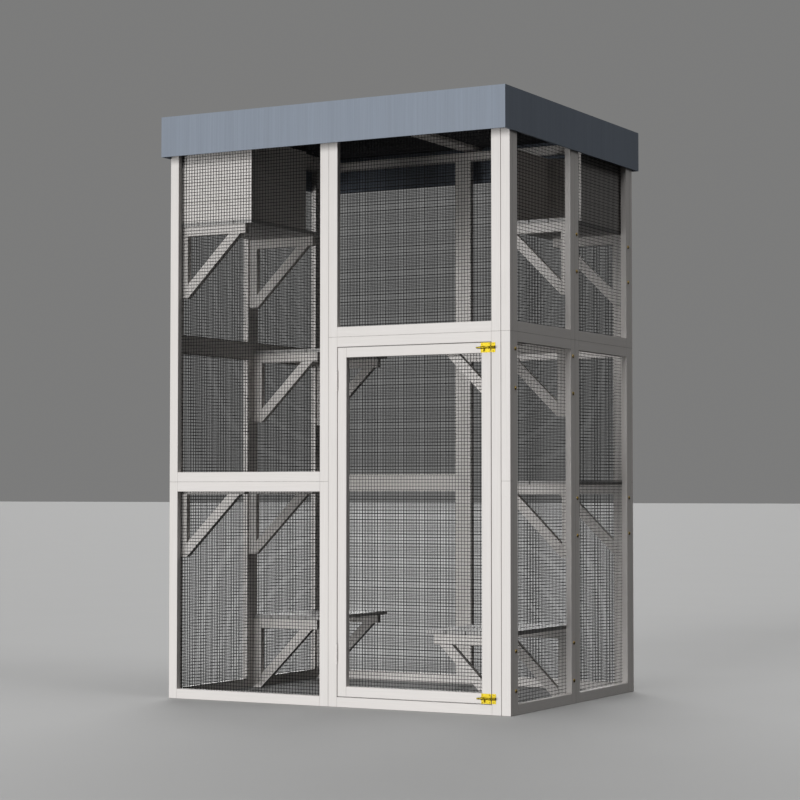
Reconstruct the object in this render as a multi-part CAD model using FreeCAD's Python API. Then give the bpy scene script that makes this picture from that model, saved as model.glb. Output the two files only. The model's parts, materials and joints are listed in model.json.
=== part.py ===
import FreeCAD, Part
import math
import os

from FreeCAD import Vector

# Outdoor cat enclosure, in millimetres. Origin at the bottom centre, +Z up, the door in the -Y front.
# On every wall u runs along the wall, w runs inwards from its outer face, and z is the height.

# Walls
COLUMN_WIDTH = 620.0        # one column of front or back panels
BAY_DEPTH = 470.0           # one side panel, front to back
WALL_HEIGHT = 1922.0
LOW_SEAM = 724.0            # joint between the stacked panels of the left-hand columns
HIGH_SEAM = 1190.5          # joint above the door, carried round the side walls

# Frame timber
RAIL_WIDTH = 32.5
RAIL_THICK = 20.0
EDGE_EASE = 0.8             # planed-off corner of the timbers and boards
STRIP_GAP = 1.0             # open seam between a corner strip and the panels beside it

# Welded wire on the inner faces of the frames
NET_THICK = 1.5             # both layers of wires together
NET_WIRE = 2.0
NET_PITCH = 54.0            # every fifth wire of the fine mesh
NET_BRACKET_GAP = 1.25      # edge of the wire to the bracket on the same timber

# Platforms of slats that run front to back
SLAT_COUNT = 4
SLAT_WIDTH = 68.0
SLAT_GAP = 3.0
SLAT_THICK = 12.0
SLAT_END_GAP = 1.75         # slat end to the wire behind the front or back wall
SLAT_OVERHANG = 26.0        # last slat past the tips of the arms
PLATFORM_INSET = 7.0        # first slat from the inner face of the wall
SECOND_LEVEL = 727.0        # top faces of the second and third platforms
THIRD_LEVEL = 1193.0

# Platform brackets
BRACKET_THICK = 20.0
LEG_LENGTH = 210.0
LEG_WIDTH = 32.5
ARM_DEPTH = 32.5
BRACE_WIDTH = 32.5
BRACE_SETBACK = 19.5        # brace end from the tip of the arm

# Screws that hold the brackets, driven from outside through the frames
SCREW_HEAD_RADIUS = 6.0
SCREW_HEAD_HEIGHT = 3.2
SCREW_HEAD_ROUNDING = 2.8
SCREW_RADIUS = 2.0
SCREW_BITE = 22.0           # depth in the bracket's leg
SCREW_TOP_DROP = 12.5       # upper screw below the top of the leg
SCREW_SPACING = 123.0

# Sleeping boxes on the top platforms
NEST_PORCH = 112.0          # platform left free before the open end
NEST_HEADROOM = 52.0        # top of the box below the top of the walls
NEST_BOARD = 12.0
NEST_PLANK = 68.0
NEST_ROWS = 4
NEST_BATTEN_WIDTH = 27.0
NEST_BATTEN_THICK = 20.0

# Roof lid
BEARER_THICK = 22.0
DECK_THICK = 8.0
FASCIA_HEIGHT = 135.0
FASCIA_THICK = 6.5
EAVE = 46.5                 # lid past the front and back walls
LID_CLEARANCE = 0.5         # side fascia from the side wall
JOIST_WIDTH = 65.0
JOIST_THICK = 12.0

# Door
DOOR_GAP = 2.0

# Butt hinges in the gap between the door and its left jamb
HINGE_LENGTH = 64.0
HINGE_LOW_INSET = 135.5     # middle of the lower hinge above the foot of the door
HINGE_HIGH_INSET = 108.0    # middle of the upper hinge below the top of the door
HINGE_LEAF_GAP = 0.4        # between the closed leaves
HINGE_LEAF_DEPTH = 17.0
KNUCKLE_RADIUS = 2.75
KNUCKLE_PROUD = 0.3         # knuckle ahead of the door's face
KNUCKLE_END_GAP = 0.3
PIN_RADIUS = 1.25
PIN_CLEARANCE = 0.05
PIN_CAP_RADIUS = 2.4
PIN_CAP_HEIGHT = 1.2

# Barrel bolts at the door's right-hand corners
BOLT_PLATE_HEIGHT = 31.0
BOLT_PLATE_THICK = 1.2
BOLT_EDGE_INSET = 0.5       # plate back from the edges of the door, and keeper from the jamb's
STRAP_LENGTH = 6.0
STRAP_WALL = 1.3
STRAP_FLANGE = 3.5
ROD_RADIUS = 2.75
ROD_CLEARANCE = 0.05
ROD_TRAVEL = 14.0
ROD_TIP_EASE = 0.8
COLLAR_RADIUS = 4.2
COLLAR_LENGTH = 6.0
COLLAR_PLATE_GAP = 0.4
COLLAR_END_GAP = 1.0        # collar from the strap at each end of its travel
LEVER_WIDTH = 5.0
LEVER_THICK = 3.0
LEVER_LENGTH = 12.5         # rod axis to the end of the lever
LEVER_ROUNDING = 2.2
KEEPER_LENGTH = 13.5
KEEPER_CLEARANCE = 0.35
KEEPER_FLATS = 8            # round the arch

# Places that follow from the sizes above
WIDTH = 2 * COLUMN_WIDTH + RAIL_WIDTH
DEPTH = 2 * BAY_DEPTH + 2 * RAIL_THICK
NET_LAP = (RAIL_WIDTH - BRACKET_THICK) / 2 - NET_BRACKET_GAP

DECK_BOTTOM = WALL_HEIGHT + BEARER_THICK
ROOF_TOP = DECK_BOTTOM + DECK_THICK
FASCIA_BOTTOM = ROOF_TOP - FASCIA_HEIGHT
EAVE_INNER = EAVE - FASCIA_THICK

NEST_TOP = WALL_HEIGHT - NEST_HEADROOM
FIRST_LEVEL = LEG_LENGTH + ARM_DEPTH + SLAT_THICK
TOP_LEVEL = NEST_TOP - NEST_ROWS * NEST_PLANK
PLATFORM_START = RAIL_THICK + PLATFORM_INSET
PLATFORM_END = PLATFORM_START + SLAT_COUNT * SLAT_WIDTH + (SLAT_COUNT - 1) * SLAT_GAP
ARM_END = PLATFORM_END - SLAT_OVERHANG

DOOR_LEFT = COLUMN_WIDTH + RAIL_WIDTH + DOOR_GAP
DOOR_RIGHT = 2 * COLUMN_WIDTH - RAIL_WIDTH - DOOR_GAP
DOOR_BOTTOM = RAIL_WIDTH + DOOR_GAP
DOOR_TOP = HIGH_SEAM - RAIL_WIDTH - DOOR_GAP

HINGE_LEAF_THICK = (DOOR_GAP - HINGE_LEAF_GAP) / 2
HINGE_U = DOOR_LEFT - DOOR_GAP / 2
HINGE_W = -(KNUCKLE_RADIUS + KNUCKLE_PROUD)

BOLT_PLATE_LENGTH = 2 * STRAP_LENGTH + COLLAR_LENGTH + ROD_TRAVEL + 2 * COLLAR_END_GAP
BOLT_W = -(BOLT_PLATE_THICK + COLLAR_PLATE_GAP + COLLAR_RADIUS)
LOW_BOLT_Z = DOOR_BOTTOM + BOLT_EDGE_INSET + BOLT_PLATE_HEIGHT / 2
HIGH_BOLT_Z = DOOR_TOP - BOLT_EDGE_INSET - BOLT_PLATE_HEIGHT / 2

# Heights of the stacked panels
LEFT_LOWER = (0, LOW_SEAM)
LEFT_UPPER = (LOW_SEAM, WALL_HEIGHT)
RIGHT_LOWER = (0, HIGH_SEAM)
RIGHT_UPPER = (HIGH_SEAM, WALL_HEIGHT)

ALONG_X = Vector(1, 0, 0)
ALONG_Y = Vector(0, 1, 0)
ALONG_Z = Vector(0, 0, 1)


def on_wall(wall, u, w, z):
    """The point at u, w and z of a wall."""
    if wall == "front":
        return Vector(u - WIDTH / 2, w - DEPTH / 2, z)
    if wall == "back":
        return Vector(u - WIDTH / 2, DEPTH / 2 - w, z)
    if wall == "left":
        return Vector(w - WIDTH / 2, u - DEPTH / 2, z)
    return Vector(WIDTH / 2 - w, u - DEPTH / 2, z)


def inwards(wall):
    """The unit vector that points into the enclosure from a wall."""
    return on_wall(wall, 0, 1, 0) - on_wall(wall, 0, 0, 0)


def lengthwise(wall):
    """The unit vector along a wall."""
    return on_wall(wall, 1, 0, 0) - on_wall(wall, 0, 0, 0)


def wall_box(wall, u_range, w_range, z_range):
    """A box between two values of u, w and z of a wall."""
    first = on_wall(wall, u_range[0], w_range[0], z_range[0])
    second = on_wall(wall, u_range[1], w_range[1], z_range[1])
    low = Vector(min(first.x, second.x), min(first.y, second.y), min(first.z, second.z))
    high = Vector(max(first.x, second.x), max(first.y, second.y), max(first.z, second.z))
    size = high - low
    return Part.makeBox(size.x, size.y, size.z, low)


def edges_along(shape, axis):
    """The straight edges of a shape that run along an axis."""
    return [edge for edge in shape.Edges if abs(edge.tangentAt(edge.FirstParameter).dot(axis)) > 0.99]


def rim_at(shape, centre):
    """The circular edges of a shape around a point."""
    circles = [edge for edge in shape.Edges if edge.Closed]
    return [edge for edge in circles if edge.Curve.Center.distanceToPoint(centre) < 0.01]


def eased_box(wall, u_range, w_range, z_range, axis):
    """A timber with planed corners along its length."""
    box = wall_box(wall, u_range, w_range, z_range)
    return box.makeChamfer(EDGE_EASE, edges_along(box, axis))


def inner_range(outer_range):
    """What the timbers of a panel leave open between two outer edges."""
    return (outer_range[0] + RAIL_WIDTH, outer_range[1] - RAIL_WIDTH)


def stile(wall, u_start, z_range, width=RAIL_WIDTH):
    """An upright with planed corners on its ends too."""
    box = wall_box(wall, (u_start, u_start + width), (0, RAIL_THICK), z_range)
    return box.makeChamfer(EDGE_EASE, box.Edges)


def rail(wall, u_range, z_start):
    return eased_box(wall, u_range, (0, RAIL_THICK), (z_start, z_start + RAIL_WIDTH), lengthwise(wall))


def panel_frame(wall, u_range, z_range):
    """Two full-height stiles with a rail between them at the bottom and the top."""
    between = inner_range(u_range)
    return [
        stile(wall, u_range[0], z_range),
        stile(wall, between[1], z_range),
        rail(wall, between, z_range[0]),
        rail(wall, between, z_range[1] - RAIL_WIDTH),
    ]


def wire_starts(span):
    """Lower edges of the evenly spaced wires across a span, from one end of it to the other."""
    length = span[1] - span[0]
    gaps = max(1, round(length / NET_PITCH))
    step = (length - NET_WIRE) / gaps
    return [span[0] + i * step for i in range(gaps + 1)]


def net(wall, u_outer, z_outer):
    """The wires over one panel, which lap onto its timbers: upright ones, and level ones behind them."""
    u_open = inner_range(u_outer)
    z_open = inner_range(z_outer)
    u_span = (u_open[0] - NET_LAP, u_open[1] + NET_LAP)
    z_span = (z_open[0] - NET_LAP, z_open[1] + NET_LAP)
    weld = RAIL_THICK + NET_THICK / 2
    uprights = [wall_box(wall, (u, u + NET_WIRE), (RAIL_THICK, weld), z_span) for u in wire_starts(u_span)]
    levels = [
        wall_box(wall, u_span, (weld, RAIL_THICK + NET_THICK), (z, z + NET_WIRE)) for z in wire_starts(z_span)
    ]
    return uprights + levels


def column_range(index):
    """Outer edges of the left-hand (0) or right-hand (1) column of the front and back walls."""
    return (index * COLUMN_WIDTH, (index + 1) * COLUMN_WIDTH)


def bay_range(index):
    """Outer edges of the front (0) or back (1) bay of a side wall."""
    return (RAIL_THICK + index * BAY_DEPTH, RAIL_THICK + (index + 1) * BAY_DEPTH)


def end_wall_nodes(wall):
    """The panels that the front and back walls have in common."""
    return {
        wall + "_left_lower_frame": panel_frame(wall, column_range(0), LEFT_LOWER),
        wall + "_left_upper_frame": panel_frame(wall, column_range(0), LEFT_UPPER),
        wall + "_right_upper_frame": panel_frame(wall, column_range(1), RIGHT_UPPER),
        wall + "_left_mesh": net(wall, column_range(0), LEFT_LOWER) + net(wall, column_range(0), LEFT_UPPER),
    }


def side_wall_nodes(wall):
    """Two bays side by side on each of two levels."""
    nodes = {}
    for level, z_range in (("lower", RIGHT_LOWER), ("upper", RIGHT_UPPER)):
        frames = []
        nets = []
        for bay in (0, 1):
            frames += panel_frame(wall, bay_range(bay), z_range)
            nets += net(wall, bay_range(bay), z_range)
        nodes["{}_{}_frame".format(wall, level)] = frames
        nodes["{}_{}_mesh".format(wall, level)] = nets
    return nodes


def corner_strips():
    """The strip that closes the right-hand end of the front and back walls, in three lengths each."""
    levels = (0, LOW_SEAM, HIGH_SEAM, WALL_HEIGHT)
    strips = []
    for wall in ("front", "back"):
        for z_range in zip(levels, levels[1:]):
            strips.append(stile(wall, 2 * COLUMN_WIDTH + STRIP_GAP, z_range, RAIL_WIDTH - STRIP_GAP))
    return strips


def bracket_middles(bay):
    """Middles of the two stiles that carry the brackets of a bay."""
    low, high = bay_range(bay)
    return (low + RAIL_WIDTH / 2, high - RAIL_WIDTH / 2)


def bracket(wall, middle, top):
    """Leg, arm and diagonal brace of a bracket whose arm ends at the height top."""
    u_range = (middle - BRACKET_THICK / 2, middle + BRACKET_THICK / 2)
    arm_bottom = top - ARM_DEPTH
    leg_bottom = arm_bottom - LEG_LENGTH
    leg_inner = RAIL_THICK + LEG_WIDTH
    leg = eased_box(wall, u_range, (RAIL_THICK, leg_inner), (leg_bottom, arm_bottom), ALONG_Z)
    arm = eased_box(wall, u_range, (RAIL_THICK, ARM_END), (arm_bottom, top), ALONG_X)
    brace_end = ARM_END - BRACE_SETBACK
    run = brace_end - leg_inner
    length = math.hypot(run, LEG_LENGTH)
    outline = [
        (leg_inner, leg_bottom),
        (brace_end, arm_bottom),
        (brace_end - BRACE_WIDTH * length / LEG_LENGTH, arm_bottom),
        (leg_inner, leg_bottom + BRACE_WIDTH * length / run),
        (leg_inner, leg_bottom),
    ]
    face = Part.Face(Part.makePolygon([on_wall(wall, u_range[0], w, z) for w, z in outline]))
    return [leg, arm, face.extrude(lengthwise(wall) * BRACKET_THICK)]


def platform_range(bay):
    """Front and back ends of the slats in a bay."""
    low, high = bay_range(bay)
    end_gap = NET_THICK + SLAT_END_GAP
    return (low + end_gap, high - end_gap)


def platform(wall, bay, level):
    """Slats that run from bracket to bracket, with their top faces at the given level."""
    slats = []
    for i in range(SLAT_COUNT):
        start = PLATFORM_START + i * (SLAT_WIDTH + SLAT_GAP)
        w_range = (start, start + SLAT_WIDTH)
        slats.append(eased_box(wall, platform_range(bay), w_range, (level - SLAT_THICK, level), ALONG_Y))
    return slats


def bracket_screw(wall, u, z):
    """A round-headed wood screw from the outer face of a side wall into a bracket's leg."""
    seat = on_wall(wall, u, 0, z)
    head = Part.makeCylinder(SCREW_HEAD_RADIUS, SCREW_HEAD_HEIGHT, seat, inwards(wall) * -1)
    crown = seat - inwards(wall) * SCREW_HEAD_HEIGHT
    head = head.makeFillet(SCREW_HEAD_ROUNDING, rim_at(head, crown))
    return head.fuse(Part.makeCylinder(SCREW_RADIUS, RAIL_THICK + SCREW_BITE, seat, inwards(wall)))


def platform_nodes():
    """The platforms climb by turns at the front and the back of each side wall."""
    nodes = {"bracket_screws": []}
    for wall, first_bay in (("left", 1), ("right", 0)):
        for step, level in enumerate((FIRST_LEVEL, SECOND_LEVEL, THIRD_LEVEL, TOP_LEVEL)):
            bay = (first_bay + step) % 2
            arm_top = level - SLAT_THICK
            high_screw = arm_top - ARM_DEPTH - SCREW_TOP_DROP
            brackets = []
            for middle in bracket_middles(bay):
                brackets += bracket(wall, middle, arm_top)
                for z in (high_screw, high_screw - SCREW_SPACING):
                    nodes["bracket_screws"].append(bracket_screw(wall, middle, z))
            nodes["{}_brackets_{}".format(wall, step + 1)] = brackets
            nodes["{}_platform_{}".format(wall, step + 1)] = platform(wall, bay, level)
    return nodes


def nest_box(wall, bay):
    """Plank walls on a top platform, closed at the outer end and open towards the middle."""
    low, high = platform_range(bay)
    if bay == 0:
        outer, direction = low, 1
    else:
        outer, direction = high, -1
    nest_length = high - low - NEST_PORCH

    def span(start, end):
        """The range of u between two distances from the closed end."""
        return tuple(sorted((outer + direction * start, outer + direction * end)))

    wall_side = (PLATFORM_START, PLATFORM_START + NEST_BOARD)
    room_side = (PLATFORM_END - NEST_BOARD, PLATFORM_END)
    batten_sides = (
        (wall_side[1], wall_side[1] + NEST_BATTEN_WIDTH),
        (room_side[0] - NEST_BATTEN_WIDTH, room_side[0]),
    )
    pieces = []
    for row in range(NEST_ROWS):
        z_range = (TOP_LEVEL + row * NEST_PLANK, TOP_LEVEL + (row + 1) * NEST_PLANK)
        pieces.append(eased_box(wall, span(0, NEST_BOARD), (wall_side[0], room_side[1]), z_range, ALONG_X))
        for side in (wall_side, room_side):
            pieces.append(eased_box(wall, span(NEST_BOARD, nest_length), side, z_range, ALONG_Y))
    for side in batten_sides:
        batten_span = span(NEST_BOARD, NEST_BOARD + NEST_BATTEN_THICK)
        pieces.append(wall_box(wall, batten_span, side, (TOP_LEVEL, NEST_TOP)))
    return pieces


def centred_box(half_x, half_y, z_range):
    low = Vector(-half_x, -half_y, z_range[0])
    return Part.makeBox(2 * half_x, 2 * half_y, z_range[1] - z_range[0], low)


def roof_nodes():
    """A lid: a deck inside four fascia boards, on two bearers over the side walls, with a centre joist."""
    lid_x = WIDTH / 2 + LID_CLEARANCE
    lid_y = DEPTH / 2 + EAVE_INNER
    end_x = lid_x + FASCIA_THICK
    end_size = (2 * end_x, FASCIA_THICK, FASCIA_HEIGHT)
    side_size = (FASCIA_THICK, 2 * lid_y, FASCIA_HEIGHT)
    bearer_u = (-EAVE_INNER, DEPTH + EAVE_INNER)
    bearer_z = (WALL_HEIGHT, DECK_BOTTOM)
    return {
        "roof_deck": [centred_box(lid_x, lid_y, (DECK_BOTTOM, ROOF_TOP))],
        "roof_joist": [centred_box(JOIST_WIDTH / 2, lid_y, (DECK_BOTTOM - JOIST_THICK, DECK_BOTTOM))],
        "roof_bearers": [wall_box(wall, bearer_u, (0, RAIL_WIDTH), bearer_z) for wall in ("left", "right")],
        "fascia_front": [Part.makeBox(*end_size, Vector(-end_x, -lid_y - FASCIA_THICK, FASCIA_BOTTOM))],
        "fascia_back": [Part.makeBox(*end_size, Vector(-end_x, lid_y, FASCIA_BOTTOM))],
        "fascia_left": [Part.makeBox(*side_size, Vector(-end_x, -lid_y, FASCIA_BOTTOM))],
        "fascia_right": [Part.makeBox(*side_size, Vector(lid_x, -lid_y, FASCIA_BOTTOM))],
    }


def hinge_cylinder(radius, low, high):
    """A cylinder on the hinge line between two heights."""
    return Part.makeCylinder(radius, high - low, on_wall("front", HINGE_U, HINGE_W, low), ALONG_Z)


def hinge_leaf(u_range, z_range, knuckles):
    """A leaf in the door's gap, with a tongue and a knuckle at each of the given heights."""
    leaf = wall_box("front", u_range, (0, HINGE_LEAF_DEPTH), z_range)
    for low, high in knuckles:
        leaf = leaf.fuse(wall_box("front", u_range, (HINGE_W, 0), (low, high)))
        leaf = leaf.fuse(hinge_cylinder(KNUCKLE_RADIUS, low, high))
    return leaf.cut(hinge_cylinder(PIN_RADIUS + PIN_CLEARANCE, *z_range)).removeSplitter()


def hinge_nodes():
    """Jamb leaves, door leaves and pins of the two butt hinges."""
    nodes = {"hinge_jamb_leaves": [], "hinge_door_leaves": [], "hinge_pins": []}
    jamb_u = (DOOR_LEFT - DOOR_GAP, DOOR_LEFT - DOOR_GAP + HINGE_LEAF_THICK)
    door_u = (DOOR_LEFT - HINGE_LEAF_THICK, DOOR_LEFT)
    third = HINGE_LENGTH / 3
    for middle in (DOOR_BOTTOM + HINGE_LOW_INSET, DOOR_TOP - HINGE_HIGH_INSET):
        low = middle - HINGE_LENGTH / 2
        high = middle + HINGE_LENGTH / 2
        jamb_knuckles = [(low, low + third), (high - third, high)]
        door_knuckles = [(low + third + KNUCKLE_END_GAP, high - third - KNUCKLE_END_GAP)]
        nodes["hinge_jamb_leaves"].append(hinge_leaf(jamb_u, (low, high), jamb_knuckles))
        nodes["hinge_door_leaves"].append(hinge_leaf(door_u, (low, high), door_knuckles))
        cap = hinge_cylinder(PIN_CAP_RADIUS, high, high + PIN_CAP_HEIGHT)
        nodes["hinge_pins"].append(hinge_cylinder(PIN_RADIUS, low, high).fuse(cap))
    return nodes


def rod_cylinder(radius, start, length, z):
    """A cylinder on the line of the bolt at the height z."""
    return Part.makeCylinder(radius, length, on_wall("front", start, BOLT_W, z), ALONG_X)


def bolt_plate(start, length, z):
    z_range = (z - BOLT_PLATE_HEIGHT / 2, z + BOLT_PLATE_HEIGHT / 2)
    return wall_box("front", (start, start + length), (-BOLT_PLATE_THICK, 0), z_range)


def strap(start, length, z, bore):
    """A strip bent round the rod, with a flange on the plate above and below it."""
    u_range = (start, start + length)
    side = bore + STRAP_WALL
    foot = -BOLT_PLATE_THICK
    cheeks = wall_box("front", u_range, (BOLT_W, foot), (z - side, z + side))
    reach = side + STRAP_FLANGE
    flange = wall_box("front", u_range, (foot - STRAP_WALL, foot), (z - reach, z + reach))
    strip = cheeks.fuse(flange).fuse(rod_cylinder(side, start, length, z))
    channel = wall_box("front", u_range, (BOLT_W, foot), (z - bore, z + bore))
    return strip.cut(channel).cut(rod_cylinder(bore, start, length, z)).removeSplitter()


def bolt_handle(start, z, bore):
    """The collar on the rod with its lever, which hangs down."""
    middle = start + COLLAR_LENGTH / 2
    lever_u = (middle - LEVER_WIDTH / 2, middle + LEVER_WIDTH / 2)
    lever_w = (BOLT_W - LEVER_THICK / 2, BOLT_W + LEVER_THICK / 2)
    lever = wall_box("front", lever_u, lever_w, (z - LEVER_LENGTH, z))
    foot = [edge for edge in edges_along(lever, ALONG_Y) if edge.CenterOfMass.z < z - LEVER_LENGTH / 2]
    lever = lever.makeFillet(LEVER_ROUNDING, foot)
    collar = rod_cylinder(COLLAR_RADIUS, start, COLLAR_LENGTH, z)
    return collar.fuse(lever).cut(rod_cylinder(bore, start, COLLAR_LENGTH, z)).removeSplitter()


def bolt_nodes(name, z):
    """One barrel bolt on the door, drawn back: its plate with two straps, its rod and its handle."""
    end = DOOR_RIGHT - BOLT_EDGE_INSET
    start = end - BOLT_PLATE_LENGTH
    bore = ROD_RADIUS + ROD_CLEARANCE
    rod = rod_cylinder(ROD_RADIUS, start - ROD_TRAVEL, BOLT_PLATE_LENGTH + ROD_TRAVEL, z)
    rims = [edge for edge in rod.Edges if edge.Closed]
    return {
        name + "_bolt_case": [
            bolt_plate(start, BOLT_PLATE_LENGTH, z),
            strap(start, STRAP_LENGTH, z, bore),
            strap(end - STRAP_LENGTH, STRAP_LENGTH, z, bore),
        ],
        name + "_bolt_rod": [rod.makeChamfer(ROD_TIP_EASE, rims)],
        name + "_bolt_handle": [bolt_handle(start + STRAP_LENGTH + COLLAR_END_GAP, z, bore)],
    }


def keeper(start, z):
    """A plate on the right-hand jamb, with two cheeks and an arch of flats that leave a way for the rod."""
    u_range = (start, start + KEEPER_LENGTH)
    bore = ROD_RADIUS + KEEPER_CLEARANCE
    side = bore + STRAP_WALL
    cheek_w = (BOLT_W, -BOLT_PLATE_THICK)
    pieces = [
        bolt_plate(start, KEEPER_LENGTH, z),
        wall_box("front", u_range, cheek_w, (z - side, z - bore)),
        wall_box("front", u_range, cheek_w, (z + bore, z + side)),
    ]
    turn = math.pi / KEEPER_FLATS
    for i in range(KEEPER_FLATS):
        outline = []
        for radius, step in ((bore, i), (side, i), (side, i + 1), (bore, i + 1), (bore, i)):
            w = BOLT_W - radius * math.sin(step * turn)
            outline.append(on_wall("front", start, w, z + radius * math.cos(step * turn)))
        pieces.append(Part.Face(Part.makePolygon(outline)).extrude(ALONG_X * KEEPER_LENGTH))
    return pieces


def door_nodes():
    """The door in its surround, with its hinges and bolts."""
    door_u = (DOOR_LEFT, DOOR_RIGHT)
    door_z = (DOOR_BOTTOM, DOOR_TOP)
    keeper_start = DOOR_RIGHT + DOOR_GAP + BOLT_EDGE_INSET
    nodes = {
        "door_surround": panel_frame("front", column_range(1), RIGHT_LOWER),
        "door_frame": panel_frame("front", door_u, door_z),
        "door_mesh": net("front", door_u, door_z),
        "bolt_keepers": keeper(keeper_start, LOW_BOLT_Z) + keeper(keeper_start, HIGH_BOLT_Z),
    }
    nodes.update(hinge_nodes())
    nodes.update(bolt_nodes("lower", LOW_BOLT_Z))
    nodes.update(bolt_nodes("upper", HIGH_BOLT_Z))
    return nodes


def all_nodes():
    nodes = {}
    for wall in ("front", "back"):
        nodes.update(end_wall_nodes(wall))
    for wall in ("left", "right"):
        nodes.update(side_wall_nodes(wall))
    nodes["front_right_mesh"] = net("front", column_range(1), RIGHT_UPPER)
    nodes["back_right_lower_frame"] = panel_frame("back", column_range(1), RIGHT_LOWER)
    nodes["back_right_mesh"] = []
    for z_range in (RIGHT_LOWER, RIGHT_UPPER):
        nodes["back_right_mesh"] += net("back", column_range(1), z_range)
    nodes["corner_strips"] = corner_strips()
    nodes.update(door_nodes())
    nodes.update(platform_nodes())
    nodes["left_nest_box"] = nest_box("left", 0)
    nodes["right_nest_box"] = nest_box("right", 1)
    nodes.update(roof_nodes())
    return nodes


os.makedirs("parts", exist_ok=True)
for node, solids in all_nodes().items():
    Part.makeCompound(solids).exportStep("parts/" + node + ".step")
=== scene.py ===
import json
import math

import bmesh
import bpy
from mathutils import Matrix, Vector


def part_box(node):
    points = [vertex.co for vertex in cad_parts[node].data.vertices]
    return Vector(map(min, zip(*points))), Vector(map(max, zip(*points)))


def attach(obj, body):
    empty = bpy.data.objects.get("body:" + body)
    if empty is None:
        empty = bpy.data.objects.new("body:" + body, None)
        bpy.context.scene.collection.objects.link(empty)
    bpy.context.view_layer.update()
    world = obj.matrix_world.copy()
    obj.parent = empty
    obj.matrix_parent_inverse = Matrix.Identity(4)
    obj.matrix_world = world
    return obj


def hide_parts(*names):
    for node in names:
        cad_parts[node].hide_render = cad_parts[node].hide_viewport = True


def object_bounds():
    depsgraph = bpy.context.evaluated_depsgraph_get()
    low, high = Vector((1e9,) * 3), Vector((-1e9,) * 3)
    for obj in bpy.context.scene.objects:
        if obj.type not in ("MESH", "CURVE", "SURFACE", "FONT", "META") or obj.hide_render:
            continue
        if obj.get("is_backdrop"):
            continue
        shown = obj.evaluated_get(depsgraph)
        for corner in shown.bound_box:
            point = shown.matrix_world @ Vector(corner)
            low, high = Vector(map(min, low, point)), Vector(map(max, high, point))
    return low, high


# Outdoor cat enclosure, in metres. The door is in the -Y front, +X is to the right and +Z is up.

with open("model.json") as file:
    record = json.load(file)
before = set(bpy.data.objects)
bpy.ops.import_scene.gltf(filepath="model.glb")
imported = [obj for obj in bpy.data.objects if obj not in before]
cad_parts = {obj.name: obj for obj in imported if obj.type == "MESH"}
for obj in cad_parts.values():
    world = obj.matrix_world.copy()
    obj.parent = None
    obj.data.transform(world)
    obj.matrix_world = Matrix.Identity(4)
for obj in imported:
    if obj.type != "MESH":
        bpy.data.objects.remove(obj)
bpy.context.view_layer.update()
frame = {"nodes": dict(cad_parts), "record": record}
nodes = frame["nodes"]
node_slots = {part["node"]: part["material_slot"] for part in frame["record"]["subparts"]}

# Directions; rise and fall are those of the left-hand and the right-hand braces
UP = Vector((0, 0, 1))
ALONG = {"x": (1, 0, 0), "y": (0, 1, 0), "z": (0, 0, 1), "rise": (1, 0, 1), "fall": (-1, 0, 1)}

# Welded wire
RAIL_WIDTH = 0.0325         # face of the timbers around each panel
SIDE_BAYS = 2               # panels side by side in each frame of a side wall
WIRE_PITCH = 0.0108
WIRE_RADIUS = 0.0008
WIRE_LAP = 0.0045           # wire ends on the timbers
WIRE_SIDES = 6
WELD_DEPTH = 0.0007         # crossing wires sunk into each other

# Faces of the solids
SQUARE_LIMIT = 0.95         # least share of a normal along one axis on a square face of a timber
CHAMFER_LIMIT = 0.0015      # narrower slanted faces are the planed corners
BRACE_SLOPE = 0.5           # least share of the longer reach that the shorter has on a brace's side
BRACE_LENGTH = 0.1          # least of that longer reach
DOWNWARD_SHADE_LIMIT = 0.5          # least share of a normal straight down on the lid's underside, which is painted near black as painted shade
PLATE_LIMIT = 0.99          # least share of a normal to the front on a bolt's plate
STRAP_DEPTH = 0.0012        # faces this near the front of a brass piece are bright

# Screw heads on the bolts and keepers, and plugs on the corner strip
HEAD_RINGS = 12
HEAD_SEGMENTS = 32
HEAD_SINK = 0.0002          # rim below the face it sits on
SCREW_RADIUS = 0.0021
SCREW_RISE = 0.0007
SCREW_EDGE = 0.0040         # middle of a head from the edges of its plate
PLATE_THICK = 0.0012
CROSS_REACH = 0.66          # shares of the head's radius
CROSS_WIDTH = 0.16
CROSS_DEPTH = 0.0006
PLUG_RADIUS = 0.0034
PLUG_RISE = 0.0004
PLUG_EDGE = 0.017           # plugs from the right-hand edge of the strip
PLUG_HEIGHTS = (0.055, 0.674, 0.790, 1.326)

# Colours, linear
WHITE_PAINT = (0.80, 0.767, 0.742)
SLAT_PAINT = (0.53, 0.52, 0.51)
CORNER_PAINTED_SHADE = 0.85           # planed corners painted darker than the faces beside them: painted shade along the seams
ROOF_PAINT = (0.225, 0.265, 0.328)
# Near black for the faces that look down under the lid: painted shade
UNDERSIDE_PAINTED_SHADE = (0.022, 0.023, 0.026)
WIRE_COAT = (0.009, 0.009, 0.0095)
WIRE_GLOSS = 0.12           # low, so that the mesh stays dark in full light
BRASS = (0.52, 0.40, 0.03)
SCREW_BRASS = (0.46, 0.32, 0.10)
STEEL = (0.55, 0.55, 0.56)
FLOOR_TONE = (0.50, 0.50, 0.497)
FLOOR_BOUNCE = (0.03, 0.03, 0.03)
FLOOR_GLOSS = 0.1
BACKDROP_TONE = (0.20, 0.20, 0.198)
NO_TINT = (1.0, 1.0, 1.0)
BAND_TINT = (1.0, 0.995, 0.985)
TARNISH_TINT = (1.0, 0.96, 0.88)

# Contrast of the grain under the paint
FACE_GRAIN = 0.06
SLAT_GRAIN = 0.09
# on the planed corners the stronger grain also darkens them as a whole, part of the painted shade along the
# seams
EDGE_GRAIN = 0.2

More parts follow.
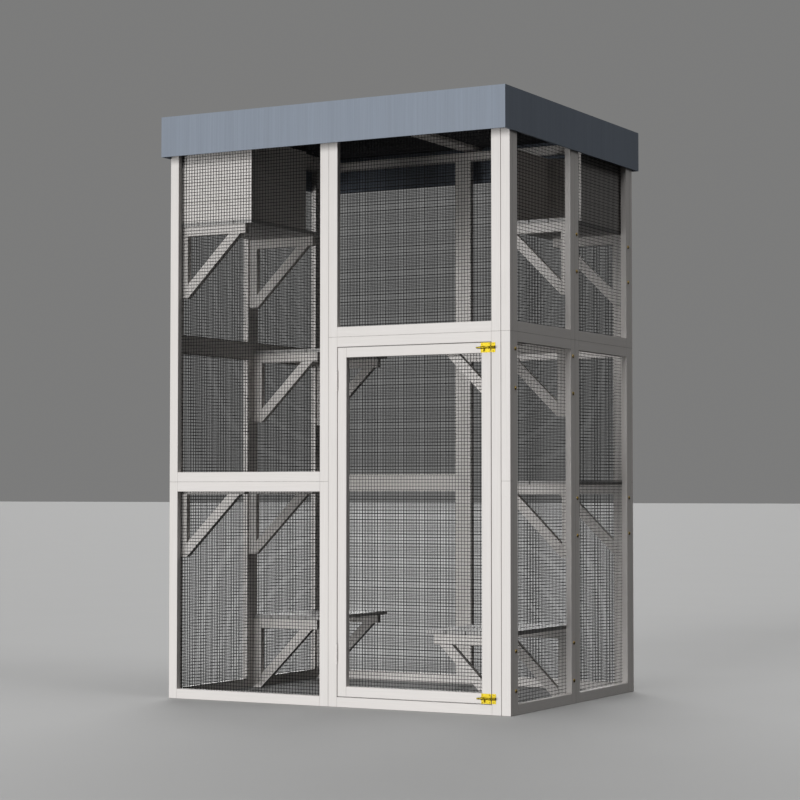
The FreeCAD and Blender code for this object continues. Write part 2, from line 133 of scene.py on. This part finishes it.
# Noises, in waves per metre along the grain and across it
FIBRE_WAVES = (9, 420, 420)
BAND_WAVES = (1.6, 60, 60)
PATCH_WAVES = (2.2, 5, 5)
STREAK_WAVES = (2.5, 190, 190)
STREAK_DRIFT_WAVES = (0.9, 26, 26)
SPECK_WAVES = (500, 900, 900)
GRANULE_WAVES = (620, 620, 620)
FADE_WAVES = (4, 4, 4)
RIPPLE_WAVES = (260, 260, 260)
DRAWN_LINE_WAVES = (60, 1500, 1500)
TARNISH_WAVES = (120, 120, 120)
FLOOR_WAVES = (1.5, 1.5, 1.5)
NOISE_LOW = 0.25            # a noise mostly stays between these two
NOISE_HIGH = 0.75

# Floor
FLOOR_REACH = 120.0
FLOOR_DROP = 0.0005         # below the feet of the walls, so that no two faces share a place

# Camera fitted to the photograph
CAMERA_PLACE = (3.6024, -6.6383, 0.690)
CAMERA_HEADING = 28.62
CAMERA_PITCH = 2.39
CAMERA_LENS = 99.216
CAMERA_SENSOR = 36.0
CAMERA_REACH = 500.0

# Lights: heading left of the front, height above the horizon and spread, in degrees, and then strength
LIGHTS = {
    "key_light": (3.0, 17.0, 24.0, 1.35),
    "fill_light": (26.0, -9.0, 38.0, 1.66),
    "back_light": (150.0, 25.0, 40.0, 1.3),
    "right_light": (-85.0, 45.0, 30.0, 0.44),
    "top_light": (0.0, 90.0, 50.0, 1.1),
}
AMBIENT = 0.012


def shade(colour, share=1.0):
    """A colour made lighter or darker, with full alpha."""
    return tuple(channel * share for channel in colour) + (1.0,)


def new_material(name, roughness, metallic=0.0):
    """A material and its shader node, with the values that are the same all over."""
    material = bpy.data.materials.new(name)
    material.use_nodes = True
    shader = material.node_tree.nodes["Principled BSDF"]
    shader.inputs["Roughness"].default_value = roughness
    shader.inputs["Metallic"].default_value = metallic
    return material, shader


def place_along(tree, grain):
    """Object coordinates turned so that the first one runs along the grain."""
    coordinates = tree.nodes.new("ShaderNodeTexCoord")
    turn = tree.nodes.new("ShaderNodeMapping")
    rotation = Vector(grain).rotation_difference(Vector(ALONG["x"]))
    turn.inputs["Rotation"].default_value = rotation.to_euler()
    tree.links.new(coordinates.outputs["Object"], turn.inputs["Vector"])
    return turn.outputs["Vector"]


def noise(tree, place, waves, detail=3.0, roughness=0.55):
    """Noise with its own number of waves per metre along each coordinate."""
    stretch = tree.nodes.new("ShaderNodeMapping")
    stretch.inputs["Scale"].default_value = waves
    tree.links.new(place, stretch.inputs["Vector"])
    texture = tree.nodes.new("ShaderNodeTexNoise")
    texture.inputs["Scale"].default_value = 1.0
    texture.inputs["Detail"].default_value = detail
    texture.inputs["Roughness"].default_value = roughness
    tree.links.new(stretch.outputs["Vector"], texture.inputs["Vector"])
    return texture.outputs["Fac"]


def blend(tree, factor, first, second, low=0.3, high=0.7):
    """A colour between two others as a noise goes from low to high."""
    ramp = tree.nodes.new("ShaderNodeValToRGB")
    ramp.color_ramp.elements[0].position = low
    ramp.color_ramp.elements[0].color = first
    ramp.color_ramp.elements[1].position = high
    ramp.color_ramp.elements[1].color = second
    tree.links.new(factor, ramp.inputs["Fac"])
    return ramp.outputs["Color"]


def stain(tree, tone, factor, darkest, tint=NO_TINT, low=0.3, high=0.7):
    """A tone multiplied by a darker share, with a tint, where a noise is low."""
    mix = tree.nodes.new("ShaderNodeMix")
    mix.data_type = "RGBA"
    mix.blend_type = "MULTIPLY"
    mix.inputs["Factor"].default_value = 1.0
    tree.links.new(tone, mix.inputs["A"])
    tree.links.new(blend(tree, factor, shade(tint, darkest), shade(NO_TINT), low, high), mix.inputs["B"])
    return mix.outputs["Result"]


def vary_roughness(tree, shader, factor, low, high):
    """Roughness that goes from low to high with a noise."""
    spread = tree.nodes.new("ShaderNodeMapRange")
    spread.inputs["From Min"].default_value = NOISE_LOW
    spread.inputs["From Max"].default_value = NOISE_HIGH
    spread.inputs["To Min"].default_value = low
    spread.inputs["To Max"].default_value = high
    tree.links.new(factor, spread.inputs["Value"])
    tree.links.new(spread.outputs["Result"], shader.inputs["Roughness"])


def emboss(tree, shader, height, strength, distance):
    """A surface raised a little where a noise is high."""
    bump = tree.nodes.new("ShaderNodeBump")
    bump.inputs["Strength"].default_value = strength
    bump.inputs["Distance"].default_value = distance
    tree.links.new(height, bump.inputs["Height"])
    tree.links.new(bump.outputs["Normal"], shader.inputs["Normal"])


def timber(name, colour, grain, depth):
    """Painted softwood: fibres and growth bands show through the paint along the grain."""
    material, shader = new_material(name, roughness=0.48)
    tree = material.node_tree
    place = place_along(tree, grain)
    fibres = noise(tree, place, FIBRE_WAVES, detail=4.0, roughness=0.6)
    bands = noise(tree, place, BAND_WAVES)
    patches = noise(tree, place, PATCH_WAVES, detail=2.0)
    tone = blend(tree, fibres, shade(colour, 1 - depth), shade(colour))
    tone = stain(tree, tone, bands, darkest=1 - depth, tint=BAND_TINT)
    tone = stain(tree, tone, patches, darkest=1 - depth / 2)
    tree.links.new(tone, shader.inputs["Base Color"])
    vary_roughness(tree, shader, bands, low=0.40, high=0.58)
    emboss(tree, shader, fibres, strength=0.25, distance=0.0006)
    return material


def board_skin(name, colour, grain):
    """The streaked weatherproof finish of the lid's boards."""
    material, shader = new_material(name, roughness=0.55)
    tree = material.node_tree
    place = place_along(tree, grain)
    streaks = noise(tree, place, STREAK_WAVES, roughness=0.65)
    drifts = noise(tree, place, STREAK_DRIFT_WAVES, detail=2.0)
    specks = noise(tree, place, SPECK_WAVES, detail=2.0)
    tone = blend(tree, streaks, first=shade(colour, 0.88), second=shade(colour, 1.07))
    tone = stain(tree, tone, drifts, darkest=0.93)
    tone = stain(tree, tone, specks, darkest=0.95)
    tree.links.new(tone, shader.inputs["Base Color"])
    vary_roughness(tree, shader, streaks, low=0.48, high=0.66)
    emboss(tree, shader, streaks, strength=0.2, distance=0.0005)
    return material


def granules(name, colour, roughness):
    """Mineral felt: fine grains with larger faded patches."""
    material, shader = new_material(name, roughness)
    tree = material.node_tree
    place = place_along(tree, ALONG["x"])
    grains = noise(tree, place, GRANULE_WAVES, detail=2.0)
    fades = noise(tree, place, FADE_WAVES, detail=4.0)
    tone = blend(tree, grains, first=shade(colour, 0.72), second=shade(colour, 1.2))
    tone = stain(tree, tone, fades, darkest=0.9)
    tree.links.new(tone, shader.inputs["Base Color"])
    emboss(tree, shader, grains, strength=0.5, distance=0.0008)
    return material


def coating(name, colour, roughness, gloss=0.5):
    """A dipped or sprayed coat with a slightly uneven surface."""
    material, shader = new_material(name, roughness)
    shader.inputs["Specular IOR Level"].default_value = gloss
    tree = material.node_tree
    place = place_along(tree, ALONG["x"])
    ripples = noise(tree, place, RIPPLE_WAVES)
    tone = blend(tree, ripples, first=shade(colour, 0.82), second=shade(colour, 1.12))
    tree.links.new(tone, shader.inputs["Base Color"])
    vary_roughness(tree, shader, ripples, low=roughness - 0.08, high=roughness + 0.1)
    emboss(tree, shader, ripples, strength=0.15, distance=0.0003)
    return material


def metal(name, colour, roughness, grain):
    """Plated metal with drawn lines along a direction and a little tarnish."""
    material, shader = new_material(name, roughness, metallic=1.0)
    tree = material.node_tree
    place = place_along(tree, grain)
    lines = noise(tree, place, DRAWN_LINE_WAVES)
    tarnish = noise(tree, place, TARNISH_WAVES, detail=4.0)
    tone = blend(tree, lines, first=shade(colour, 0.9), second=shade(colour, 1.06))
    tone = stain(tree, tone, tarnish, darkest=0.82, tint=TARNISH_TINT, low=0.25, high=0.55)
    tree.links.new(tone, shader.inputs["Base Color"])
    vary_roughness(tree, shader, tarnish, low=roughness - 0.08, high=roughness + 0.12)
    emboss(tree, shader, lines, strength=0.12, distance=0.0002)
    return material


white = {way: timber("white_paint_" + way, WHITE_PAINT, grain, FACE_GRAIN) for way, grain in ALONG.items()}
# Planed corners of the timbers and slats get a darker copy of the paint: painted shade along the seams
# between parts
white["edge"] = timber("white_edge_painted_shade", shade(WHITE_PAINT, CORNER_PAINTED_SHADE)[:3], ALONG["z"], EDGE_GRAIN)
slat = {way: timber("slat_paint_" + way, SLAT_PAINT, ALONG[way], SLAT_GRAIN) for way in "xyz"}
slat["edge"] = timber("slat_edge_painted_shade", shade(SLAT_PAINT, CORNER_PAINTED_SHADE)[:3], ALONG["y"], EDGE_GRAIN)
roof_board = board_skin("roof_board", ROOF_PAINT, ALONG["z"])
roof_felt = granules("roof_felt", ROOF_PAINT, roughness=0.85)
# A near-black copy of the felt for the lid's downward faces: painted shade under the roof
roof_underside_painted_shade = granules("roof_underside_painted_shade", UNDERSIDE_PAINTED_SHADE, roughness=0.8)
wire_coat = coating("wire_coat", WIRE_COAT, roughness=0.5, gloss=WIRE_GLOSS)
hinge_paint = coating("hinge_paint", WHITE_PAINT, roughness=0.4)
brass_plate = metal("brass_plate", BRASS, roughness=0.45, grain=ALONG["x"])
brass_bright = metal("brass_bright", BRASS, roughness=0.18, grain=ALONG["x"])
screw_brass = metal("brass_screw", SCREW_BRASS, roughness=0.18, grain=ALONG["y"])
steel = metal("pin_steel", STEEL, roughness=0.32, grain=ALONG["z"])


def facing(mesh, face):
    """Which way the grain runs on one face of a timber, or that the face is a planed corner."""
    corners = [mesh.vertices[i].co for i in face.vertices]
    spans = [max(c[k] for c in corners) - min(c[k] for c in corners) for k in range(3)]
    brace_way = "rise" if corners[0].x < 0 else "fall"
    if max(abs(component) for component in face.normal) < SQUARE_LIMIT:
        width = 2 * face.area / max(spans)
        return "edge" if width < CHAMFER_LIMIT else brace_way
    slanted = min(spans[0], spans[2]) > BRACE_SLOPE * max(spans[0], spans[2])
    if abs(face.normal.y) > SQUARE_LIMIT and slanted and max(spans) > BRACE_LENGTH:
        return brace_way
    return "xyz"[spans.index(max(spans))]


def dress(node, materials):
    """Gives each face of a CAD node the material of its own grain."""
    mesh = nodes[node].data
    mesh.materials.clear()
    ways = list(materials)
    for way in ways:
        mesh.materials.append(materials[way])
    for face in mesh.polygons:
        way = facing(mesh, face)
        face.material_index = ways.index(way if way in materials else "z")


def coat(node, material):
    """Gives a whole CAD node one material."""
    mesh = nodes[node].data
    mesh.materials.clear()
    mesh.materials.append(material)


def coat_two(node, first, second, takes_second):
    """Gives each face of a CAD node the first or the second of two materials."""
    coat(node, first)
    mesh = nodes[node].data
    mesh.materials.append(second)
    for face in mesh.polygons:
        face.material_index = 1 if takes_second(face) else 0


def polish(node):
    """Satin plates, and bright straps, rods and levers."""
    front = min(vertex.co.y for vertex in nodes[node].data.vertices)

    def bright(face):
        return face.normal.y >= -PLATE_LIMIT or face.center.y <= front + STRAP_DEPTH

    coat_two(node, brass_plate, brass_bright, bright)


for node, slot in node_slots.items():
    if slot in ("white_timber", "nest_boards"):
        dress(node, white)
    elif slot == "slats":
        dress(node, slat)
    elif slot == "hinge_paint":
        coat(node, hinge_paint)
    elif slot == "pin_steel":
        coat(node, steel)
    elif slot == "brass":
        polish(node)
    elif slot == "roof_boards":
        coat(node, roof_board)
coat("bracket_screws", screw_brass)
# Faces of the deck that look down take the near-black felt: painted shade
coat_two("roof_deck", roof_felt, roof_underside_painted_shade, lambda face: face.normal.z < -DOWNWARD_SHADE_LIMIT)


def make_piece(name, builder, body, material):
    """A new object from a filled bmesh, with its faces turned outwards, which rides on a body."""
    mesh = bpy.data.meshes.new(name)
    bmesh.ops.recalc_face_normals(builder, faces=builder.faces)
    builder.to_mesh(mesh)
    builder.free()
    mesh.materials.append(material)
    piece = bpy.data.objects.new(name, mesh)
    bpy.context.scene.collection.objects.link(piece)
    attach(piece, body)
    return piece


def add_wire(builder, start, end, across, outwards):
    """A straight wire with flat ends; across and outwards are the directions of its round section."""
    rings = []
    for point in (start, end):
        ring = []
        for i in range(WIRE_SIDES):
            angle = 2 * math.pi * i / WIRE_SIDES
            offset = across * (math.cos(angle) * WIRE_RADIUS) + outwards * (math.sin(angle) * WIRE_RADIUS)
            ring.append(builder.verts.new(point + offset))
        rings.append(ring)
    for i in range(WIRE_SIDES):
        j = (i + 1) % WIRE_SIDES
        face = builder.faces.new((rings[0][i], rings[0][j], rings[1][j], rings[1][i]))
        face.smooth = True
    builder.faces.new(rings[0])
    builder.faces.new(rings[1])


def wire_places(low, high):
    """Evenly spaced wires across a panel's opening, half a pitch from the timber at each side."""
    count = round((high - low) / WIRE_PITCH)
    step = (high - low) / count
    return [low + (i + 0.5) * step for i in range(count)]


def panel_mesh(builder, low, high, inner):
    """The wires over one panel, whose frame reaches from low to high; inner points into the enclosure."""
    along = Vector(tuple(abs(component) for component in UP.cross(inner)))
    u_low, u_high = low.dot(along) + RAIL_WIDTH, high.dot(along) - RAIL_WIDTH
    z_low, z_high = low.z + RAIL_WIDTH, high.z - RAIL_WIDTH
    face = max(low.dot(inner), high.dot(inner))
    upright_depth = inner * (face + WIRE_RADIUS)
    level_depth = inner * (face + 3 * WIRE_RADIUS - WELD_DEPTH)
    for u in wire_places(u_low, u_high):
        foot = upright_depth + along * u
        add_wire(builder, foot + UP * (z_low - WIRE_LAP), foot + UP * (z_high + WIRE_LAP), along, inner)
    for z in wire_places(z_low, z_high):
        left = level_depth + UP * z
        add_wire(builder, left + along * (u_low - WIRE_LAP), left + along * (u_high + WIRE_LAP), UP, inner)


def panels_of(frame_node, bays):
    """Lowest and highest corners of the panels side by side in one frame node."""
    low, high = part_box(frame_node)
    if bays == 1:
        return [(low, high)]
    step = (high.y - low.y) / bays
    return [
        (Vector((low.x, low.y + i * step, low.z)), Vector((high.x, low.y + (i + 1) * step, high.z)))
        for i in range(bays)
    ]


INNER = {
    "front": Vector((0, 1, 0)),
    "back": Vector((0, -1, 0)),
    "left": Vector((1, 0, 0)),
    "right": Vector((-1, 0, 0)),
}
MESHES = {
    "front_left_mesh": ("front", ["front_left_lower_frame", "front_left_upper_frame"]),
    "front_right_mesh": ("front", ["front_right_upper_frame"]),
    "door_mesh": ("front", ["door_frame"]),
    "back_left_mesh": ("back", ["back_left_lower_frame", "back_left_upper_frame"]),
    "back_right_mesh": ("back", ["back_right_lower_frame", "back_right_upper_frame"]),
    "left_lower_mesh": ("left", ["left_lower_frame"]),
    "left_upper_mesh": ("left", ["left_upper_frame"]),
    "right_lower_mesh": ("right", ["right_lower_frame"]),
    "right_upper_mesh": ("right", ["right_upper_frame"]),
}
for node, (wall, frames) in MESHES.items():
    builder = bmesh.new()
    bays = SIDE_BAYS if wall in ("left", "right") else 1
    for frame_node in frames:
        for low, high in panels_of(frame_node, bays):
            panel_mesh(builder, low, high, INNER[wall])
    body = "door" if node == "door_mesh" else "frame"
    wires = make_piece(node.replace("mesh", "fine_wire"), builder, body, wire_coat)
    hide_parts(node)


def add_head(builder, centre, radius, rise, cross):
    """A domed head on a face of the front, with or without a cross recess."""
    def point(x, z):
        """A point of the dome, x and z in shares of the radius."""
        share = math.hypot(x, z)
        height = rise * math.sqrt(max(0.0, 1 - share ** 4)) - HEAD_SINK * share
        if cross and min(abs(x), abs(z)) < CROSS_WIDTH and share < CROSS_REACH:
            height -= CROSS_DEPTH
        return builder.verts.new(centre + Vector((x * radius, -height, z * radius)))

    turns = [2 * math.pi * s / HEAD_SEGMENTS for s in range(HEAD_SEGMENTS)]
    rings = []
    for r in range(1, HEAD_RINGS + 1):
        share = r / HEAD_RINGS
        rings.append([point(share * math.cos(turn), share * math.sin(turn)) for turn in turns])
    middle = point(0.0, 0.0)
    for s in range(HEAD_SEGMENTS):
        t = (s + 1) % HEAD_SEGMENTS
        builder.faces.new((middle, rings[0][s], rings[0][t])).smooth = True
        for inner, outer in zip(rings, rings[1:]):
            builder.faces.new((inner[s], outer[s], outer[t], inner[t])).smooth = True
    builder.faces.new(list(reversed(rings[-1])))


def plate_screws(name, body, columns, case):
    """Screw heads along the top and the bottom of a plate, at the height of one bolt's case."""
    low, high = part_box(case)
    builder = bmesh.new()
    for x in columns:
        for z in (low.z + SCREW_EDGE, high.z - SCREW_EDGE):
            add_head(builder, Vector((x, high.y - PLATE_THICK, z)), SCREW_RADIUS, SCREW_RISE, cross=True)
    make_piece(name, builder, body, brass_bright)


keeper_low, keeper_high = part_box("bolt_keepers")
for level in ("lower", "upper"):
    case = level + "_bolt_case"
    low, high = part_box(case)
    plate_screws(level + "_bolt_screws", "door", (low.x + SCREW_EDGE, high.x - SCREW_EDGE), case)
    plate_screws(level + "_keeper_screws", "frame", ((keeper_low.x + keeper_high.x) / 2,), case)

strip_low, strip_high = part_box("corner_strips")
plugs = bmesh.new()
for z in PLUG_HEIGHTS:
    add_head(plugs, Vector((strip_high.x - PLUG_EDGE, strip_low.y, z)), PLUG_RADIUS, PLUG_RISE, cross=False)
make_piece("strip_plugs", plugs, "frame", white["z"])


def floor_paint():
    """A pale even floor that throws little light back up."""
    material, shader = new_material("floor_paint", roughness=0.85)
    shader.inputs["Specular IOR Level"].default_value = FLOOR_GLOSS
    tree = material.node_tree
    drifts = noise(tree, place_along(tree, ALONG["x"]), FLOOR_WAVES)
    tone = blend(tree, drifts, first=shade(FLOOR_TONE, 0.985), second=shade(FLOOR_TONE))
    tree.links.new(tone, shader.inputs["Base Color"])
    bounce = tree.nodes.new("ShaderNodeBsdfDiffuse")
    bounce.inputs["Color"].default_value = shade(FLOOR_BOUNCE)
    ray = tree.nodes.new("ShaderNodeLightPath")
    choice = tree.nodes.new("ShaderNodeMixShader")
    tree.links.new(ray.outputs["Is Camera Ray"], choice.inputs["Fac"])
    tree.links.new(bounce.outputs["BSDF"], choice.inputs[1])
    tree.links.new(shader.outputs["BSDF"], choice.inputs[2])
    tree.links.new(choice.outputs["Shader"], tree.nodes["Material Output"].inputs["Surface"])
    return material


floor_mesh = bpy.data.meshes.new("floor")
floor_builder = bmesh.new()
bmesh.ops.create_grid(floor_builder, x_segments=1, y_segments=1, size=FLOOR_REACH)
floor_builder.to_mesh(floor_mesh)
floor_builder.free()
floor_mesh.materials.append(floor_paint())
floor = bpy.data.objects.new("floor", floor_mesh)
floor.location.z = -FLOOR_DROP
bpy.context.scene.collection.objects.link(floor)
floor.visible_shadow = False
floor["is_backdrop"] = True


def add_sun(name, heading, height, spread, strength):
    """A wide soft light that comes from a heading left of the front and a height above the horizon."""
    light = bpy.data.lights.new(name, "SUN")
    light.energy = strength
    light.angle = math.radians(spread)
    sun = bpy.data.objects.new(name, light)
    turn, rise = math.radians(heading), math.radians(height)
    source = Vector((-math.sin(turn) * math.cos(rise), -math.cos(turn) * math.cos(rise), math.sin(rise)))
    sun.rotation_euler = source.to_track_quat("Z", "Y").to_euler()
    bpy.context.scene.collection.objects.link(sun)


for name, values in LIGHTS.items():
    add_sun(name, *values)

# Studio: the camera and the reflections see the backdrop, and the rest gets a faint even light
world = bpy.data.worlds.new("studio")
world.use_nodes = True
bpy.context.scene.world = world
sky = world.node_tree
ambient = sky.nodes["Background"]
ambient.inputs["Color"].default_value = shade(NO_TINT)
ambient.inputs["Strength"].default_value = AMBIENT
backdrop = sky.nodes.new("ShaderNodeBackground")
backdrop.inputs["Color"].default_value = shade(BACKDROP_TONE)
ray = sky.nodes.new("ShaderNodeLightPath")
seen = sky.nodes.new("ShaderNodeMath")
seen.operation = "MAXIMUM"
sky.links.new(ray.outputs["Is Camera Ray"], seen.inputs[0])
sky.links.new(ray.outputs["Is Glossy Ray"], seen.inputs[1])
choice = sky.nodes.new("ShaderNodeMixShader")
sky.links.new(seen.outputs["Value"], choice.inputs["Fac"])
sky.links.new(ambient.outputs["Background"], choice.inputs[1])
sky.links.new(backdrop.outputs["Background"], choice.inputs[2])
sky.links.new(choice.outputs["Shader"], sky.nodes["World Output"].inputs["Surface"])

camera_data = bpy.data.cameras.new("camera")
camera_data.lens = CAMERA_LENS
camera_data.sensor_width = CAMERA_SENSOR
camera_data.clip_end = CAMERA_REACH
camera = bpy.data.objects.new("camera", camera_data)
camera.location = CAMERA_PLACE
camera.rotation_euler = (math.radians(90 + CAMERA_PITCH), 0.0, math.radians(CAMERA_HEADING))
bpy.context.scene.collection.objects.link(camera)
bpy.context.scene.camera = camera
bpy.context.scene.view_settings.view_transform = "Standard"

low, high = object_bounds()
